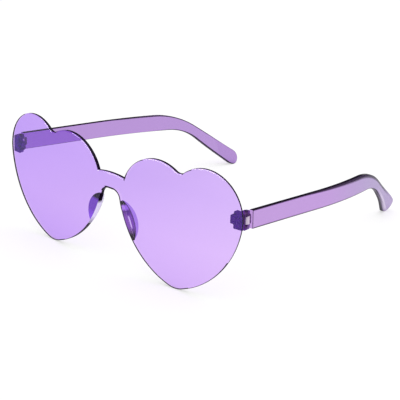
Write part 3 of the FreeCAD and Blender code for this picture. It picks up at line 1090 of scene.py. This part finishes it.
class SUNGLASSES_OT_temples(bpy.types.Operator):
    """Make the two flat temples, each with its knuckle"""

    bl_idname = "sunglasses.temples"
    bl_label = "Temples"

    def execute(self, context):
        sizes = context.scene.sunglasses_sizes
        materials = self.materials(context.scene.sunglasses_colours)
        bottom = HINGE.z - TEMPLE_KNUCKLE_HEIGHT / 2
        for side in SIDES:
            temple = new_piece(side + "_arm", self.strip(sizes), materials)
            web = upright(self.web_outline(), bottom, TEMPLE_KNUCKLE_HEIGHT, sizes.fitting_edge, WEB)
            combine(temple, new_piece("web", web, materials), "UNION")
            disc = about_hinge(KNUCKLE_RADIUS, 0, math.tau)
            drum = upright(disc, bottom, TEMPLE_KNUCKLE_HEIGHT, sizes.fitting_edge, KNUCKLE)
            combine(temple, new_piece("drum", drum, materials), "UNION")
            cut_bore(temple, PIN_RADIUS + PIN_CLEARANCE, bottom, TEMPLE_KNUCKLE_HEIGHT, materials)
            attach(temple, side + "_temple", side + "_arm", side)
        return {"FINISHED"}

    def materials(self, colours):
        """Clear sides, dark edges of painted shade, a pale cloudy knuckle, and its web painted darker as
        shade.
        """
        return [
            temple_face(colours),
            temple_top_round(colours),
            temple_low_round(colours),
            temple_top(colours),
            temple_low(colours),
            moulded_plastic("temple_knuckle", colours.knuckle),
            # Painted shade: the web takes the dark block violet, as shade between the knuckle and the strip
            moulded_plastic("temple_web_shade", colours.fitting),
        ]

    def strip(self, sizes):
        """The bowed strip and its tail, whose edges grow rounder from the bend on."""

        def growing(spot, strip_size, tail_size):
            share = eased(spot.x - HINGE.y, TAIL_ROUND_START, TAIL_ROUND_END)
            return strip_size + (tail_size - strip_size) * share

        def outer_rounding(spot, outwards):
            across = growing(spot, sizes.temple_edge, sizes.tail_edge)
            return across, growing(spot, sizes.temple_depth, sizes.tail_depth)

        def inner_rounding(spot, outwards):
            size = growing(spot, sizes.temple_back_edge, sizes.tail_back_edge)
            return size, size

        return slab(
            temple_outline(),
            TEMPLE_FRONT_THICKNESS,
            outer_rounding,
            on_temple,
            self.rim,
            inner_rounding,
            line=TEMPLE_FRONT_THICKNESS / 2,
            cuts=steps_between(
                HINGE.y + TEMPLE_BOW_START, HINGE.y + TEMPLE_TIP_REACH + TEMPLE_TIP_RADIUS, TEMPLE_STRIP
            ),
        )

    def rim(self, spot, outwards):
        """Edges that face up or down are dark with painted shade. The front end is clear, because light
        reaches it from both sides, and the tip is as clear as the upper edge that it carries on."""
        if outwards.x < -FRONT_END:
            return TOP_ROUND, TOP_ROUND, FACE, FACE, FACE
        if outwards.y > 0 or outwards.x > 0:
            return TOP_ROUND, TOP_ROUND, TOP, TOP, TOP_ROUND
        return LOW_ROUND, LOW_ROUND, LOW, LOW, LOW_ROUND

    def web_outline(self):
        """The web from the hinge axis to the strip, seen from above."""
        low, high = HINGE.x - TEMPLE_KNUCKLE_WEB, HINGE.x + TEMPLE_OFFSET
        end_y = HINGE.y + TEMPLE_GAP + TEMPLE_FRONT_THICKNESS / 2
        return [Vector(spot) for spot in ((low, HINGE.y), (high, HINGE.y), (high, end_y), (low, end_y))]


class SUNGLASSES_OT_hinges(bpy.types.Operator):
    """Make the two hinge blocks on the back of the lens, and finish their pins"""

    bl_idname = "sunglasses.hinges"
    bl_label = "Hinges"

    def execute(self, context):
        sizes = context.scene.sunglasses_sizes
        colours = context.scene.sunglasses_colours
        block = hinge_plastic(colours)
        steel = burnished_steel(colours.pin)
        for side in SIDES:
            piece = new_piece(side + "_hinge_block", self.plate(sizes), [block])
            height = (KNUCKLE_STACK - TEMPLE_KNUCKLE_HEIGHT) / 2 - KNUCKLE_GAP
            bottom = HINGE.z - KNUCKLE_STACK / 2
            for low in (bottom, bottom + KNUCKLE_STACK - height):
                knuckle = upright(self.lug_outline(), low, height, sizes.fitting_edge, FACE)
                combine(piece, new_piece("knuckle", knuckle, [block]), "UNION")
            cut_bore(piece, PIN_RADIUS + PIN_CLEARANCE / 2, bottom, KNUCKLE_STACK, [block])
            attach(piece, side + "_end_piece", "front", side)
            pin = frame["nodes"][side + "_hinge_pin"]
            pin.data.materials.clear()
            pin.data.materials.append(steel)
        return {"FINISHED"}

    def lug_outline(self):
        """A knuckle seen from above: round behind the hinge axis, and straight from there to the plate."""
        root = LENS_Y + PLATE_BACK - PLATE_THICKNESS / 2
        end = Vector((HINGE.x - KNUCKLE_RADIUS, HINGE.y))
        corners = [Vector((end.x, root)), Vector((HINGE.x + KNUCKLE_RADIUS, root))]
        return about_hinge(KNUCKLE_RADIUS, 0, math.pi) + [end] + corners

    def plate(self, sizes):
        """The plus shaped plate, seated on the bowed back of the lens."""
        low = HINGE.x - PLATE_INNER_REACH
        high = HINGE.x + PLATE_OUTER_REACH
        tongue = HINGE.x - TONGUE_REACH
        half_stack = KNUCKLE_STACK / 2
        half_tongue = TONGUE_HEIGHT / 2
        corners = [
            (high, half_stack), (low, half_stack), (low, half_tongue), (tongue, half_tongue),
            (tongue, -half_tongue), (low, -half_tongue), (low, -half_stack), (high, -half_stack),
        ]
        outline = rounded([Vector(corner) for corner in corners], sizes.corner)

        def place(x, z, depth):
            seat = leaned(x, lens_back(x), z + HINGE_HEIGHT)
            back = LENS_Y + PLATE_BACK
            share = depth / PLATE_THICKNESS
            return Vector((x, seat.y + (back - seat.y) * share, HINGE.z + z))

        edge = sizes.fitting_edge
        return slab(outline, PLATE_THICKNESS, lambda spot, outwards: (edge, edge), place, one_material(FACE))


class SUNGLASSES_OT_pads(bpy.types.Operator):
    """Make the two half-moon nose pads"""

    bl_idname = "sunglasses.pads"
    bl_label = "Nose pads"

    def execute(self, context):
        sizes = context.scene.sunglasses_sizes
        colours = context.scene.sunglasses_colours
        materials = [pad_base(), pad_nose(colours), pad_ridge(colours), pad_broad(colours)]
        for side in SIDES:
            pad = new_piece(side + "_pad", self.wedge(sizes), materials)
            attach(pad, side + "_nose_pad", "front", side)
        return {"FINISHED"}

    def wedge(self, sizes):
        """A three-sided wedge along the nose edge, which swells from its ends to its middle. Its points keep
        how far they lie along the pad, and how far across it from the foot of the nose flank."""
        half_length = (pad_bottom - pad_top).length / 2
        rim_radius = (half_length**2 + PAD_WIDTH**2) / (2 * PAD_WIDTH)
        mesh = bmesh.new()
        along_layer = mesh.verts.layers.float.new(PAD_ALONG)
        across_layer = mesh.verts.layers.float.new(PAD_ACROSS)
        rings = []
        for i in range(PAD_SECTIONS + 1):
            run = -half_length * PAD_END * math.cos(math.pi * i / PAD_SECTIONS)
            width = math.sqrt(rim_radius**2 - run**2) - rim_radius + PAD_WIDTH
            start = (pad_top + pad_bottom) / 2 + pad_along * run
            section = self.section(width, sizes.pad_ridge * width / PAD_WIDTH)
            ring = []
            for share, (across, height) in zip(PAD_SHARES, section):
                spot = start + pad_outward * across
                vert = mesh.verts.new(leaned(spot.x, lens_back(spot.x) + height, spot.y))
                vert[along_layer] = (run / half_length + 1) / 2
                vert[across_layer] = share
                ring.append(vert)
            rings.append(ring)
        for ring, after in zip(rings, rings[1:]):
            for i in range(len(ring)):
                quad = mesh.faces.new((ring[i - 1], ring[i], after[i], after[i - 1]))
                quad.material_index = PAD_SIDES[i]
        mesh.faces.new(rings[0]).material_index = PAD_NOSE
        mesh.faces.new(list(reversed(rings[-1]))).material_index = PAD_NOSE
        bmesh.ops.recalc_face_normals(mesh, faces=mesh.faces[:])
        return mesh

    def section(self, width, round_off):
        """The pad cut across: its foot on the lens's edge, its rounded ridge and its rim on the lens."""
        ridge = Vector((PAD_RIDGE_OUT, PAD_RIDGE_HEIGHT)) * (width / PAD_WIDTH)
        foot, rim = Vector((0, 0)), Vector((width, 0))
        before = ridge + (foot - ridge).normalized() * round_off
        after = ridge + (rim - ridge).normalized() * round_off
        spots = [foot]
        for step in range(PAD_RIDGE_STEPS + 1):
            share = step / PAD_RIDGE_STEPS
            spots.append(before.lerp(ridge, share).lerp(ridge.lerp(after, share), share))
        return spots + [rim]


class SUNGLASSES_OT_stage(bpy.types.Operator):
    """Make the floor, the lights and the camera"""

    bl_idname = "sunglasses.stage"
    bl_label = "Stage"

    def execute(self, context):
        scene = context.scene
        studio = scene.sunglasses_studio
        self.floor(studio)
        scene.world = self.surround(studio)
        self.softbox(scene, "key_light", studio.key_power, KEY_SIZE, KEY_PLACE)
        rim_light = self.softbox(scene, "rim_light", studio.rim_power, RIM_SIZE, RIM_PLACE)
        rim_light.visible_diffuse = False
        scene.camera = self.camera(scene, studio)
        scene.view_settings.view_transform = "Standard"
        scene.cycles.transparent_max_bounces = CLEAR_LAYERS
        return {"FINISHED"}

    def floor(self, studio):
        """A pale floor that glows, less so where the plastics mirror it."""
        mesh = bmesh.new()
        corners = [(-1, -1), (1, -1), (1, 1), (-1, 1)]
        mesh.faces.new([mesh.verts.new((x * FLOOR_REACH, y * FLOOR_REACH, -FLOOR_DROP)) for x, y in corners])
        finish = Finish("pale_floor")
        mirrored = finish.add("LightPath", {}, "Is Glossy Ray")
        strength = finish.between(mirrored, studio.floor_glow, studio.floor_glow * studio.dim_floor)
        glow = finish.add("Emission", {"Strength": strength})
        matt = finish.add("BsdfDiffuse", {"Color": scaled(WHITE, studio.floor_white)})
        material = finish.surface(finish.add("AddShader", {0: glow, 1: matt}))
        new_piece("floor", mesh, [material])

    def surround(self, studio):
        """White all round, but dim where the plastics mirror it, so that dark edges stay dark."""
        world = bpy.data.worlds.new("white_surround")
        world.use_nodes = True
        nodes, links = world.node_tree.nodes, world.node_tree.links
        path = nodes.new("ShaderNodeLightPath")
        strength = nodes.new("ShaderNodeMapRange")
        strength.inputs["To Min"].default_value = studio.sky
        strength.inputs["To Max"].default_value = studio.dim_sky
        links.new(path.outputs["Is Glossy Ray"], strength.inputs["Value"])
        links.new(strength.outputs["Result"], nodes["Background"].inputs["Strength"])
        nodes["Background"].inputs["Color"].default_value = (*WHITE, 1.0)
        return world

    def softbox(self, scene, name, power, size, place):
        """A rectangular light that faces the middle of the floor."""
        light = bpy.data.lights.new(name, "AREA")
        light.shape = "RECTANGLE"
        light.size, light.size_y = size
        light.energy = power
        lamp = bpy.data.objects.new(name, light)
        lamp.location = place
        lamp.rotation_euler = (-lamp.location).to_track_quat("-Z", "Y").to_euler()
        scene.collection.objects.link(lamp)
        return lamp

    def camera(self, scene, studio):
        """A camera that looks at its target from an azimuth and an elevation."""
        turn, rise = studio.azimuth, studio.elevation
        back = Vector((math.sin(turn) * math.cos(rise), -math.cos(turn) * math.cos(rise), math.sin(rise)))
        right = Vector((math.cos(turn), math.sin(turn), 0))
        up = back.cross(right)
        leaning_right = right * math.cos(studio.roll) + up * math.sin(studio.roll)
        leaning_up = up * math.cos(studio.roll) - right * math.sin(studio.roll)
        data = bpy.data.cameras.new("camera")
        data.sensor_width = SENSOR_WIDTH
        data.lens = studio.lens
        data.clip_start, data.clip_end = NEAREST, FURTHEST
        camera = bpy.data.objects.new("camera", data)
        axes = Matrix((leaning_right, leaning_up, back)).transposed().to_4x4()
        camera.matrix_world = Matrix.Translation(CAMERA_TARGET + back * studio.distance) @ axes
        scene.collection.objects.link(camera)
        return camera


OPERATORS = (
    SUNGLASSES_OT_lens,
    SUNGLASSES_OT_temples,
    SUNGLASSES_OT_hinges,
    SUNGLASSES_OT_pads,
    SUNGLASSES_OT_stage,
)


class SUNGLASSES_PT_panel(bpy.types.Panel):
    """Makes the pieces of the sunglasses"""

    bl_label = "Sunglasses"
    bl_space_type = "VIEW_3D"
    bl_region_type = "UI"
    bl_category = "Sunglasses"

    def draw(self, context):
        for operator in OPERATORS:
            self.layout.operator(operator.bl_idname)
        for group in (
            context.scene.sunglasses_sizes,
            context.scene.sunglasses_colours,
            context.scene.sunglasses_studio,
        ):
            box = self.layout.box()
            for name in group.__annotations__:
                box.prop(group, name)


CLASSES = (SunglassesSizes, SunglassesColours, SunglassesStudio, *OPERATORS, SUNGLASSES_PT_panel)


def register():
    for cls in CLASSES:
        bpy.utils.register_class(cls)
    bpy.types.Scene.sunglasses_sizes = bpy.props.PointerProperty(type=SunglassesSizes)
    bpy.types.Scene.sunglasses_colours = bpy.props.PointerProperty(type=SunglassesColours)
    bpy.types.Scene.sunglasses_studio = bpy.props.PointerProperty(type=SunglassesStudio)


def unregister():
    del bpy.types.Scene.sunglasses_studio
    del bpy.types.Scene.sunglasses_colours
    del bpy.types.Scene.sunglasses_sizes
    for cls in reversed(CLASSES):
        bpy.utils.unregister_class(cls)


def main():
    register()
    bpy.ops.sunglasses.lens()
    bpy.ops.sunglasses.temples()
    bpy.ops.sunglasses.hinges()
    bpy.ops.sunglasses.pads()
    bpy.ops.sunglasses.stage()


if __name__ == "__main__":
    main()
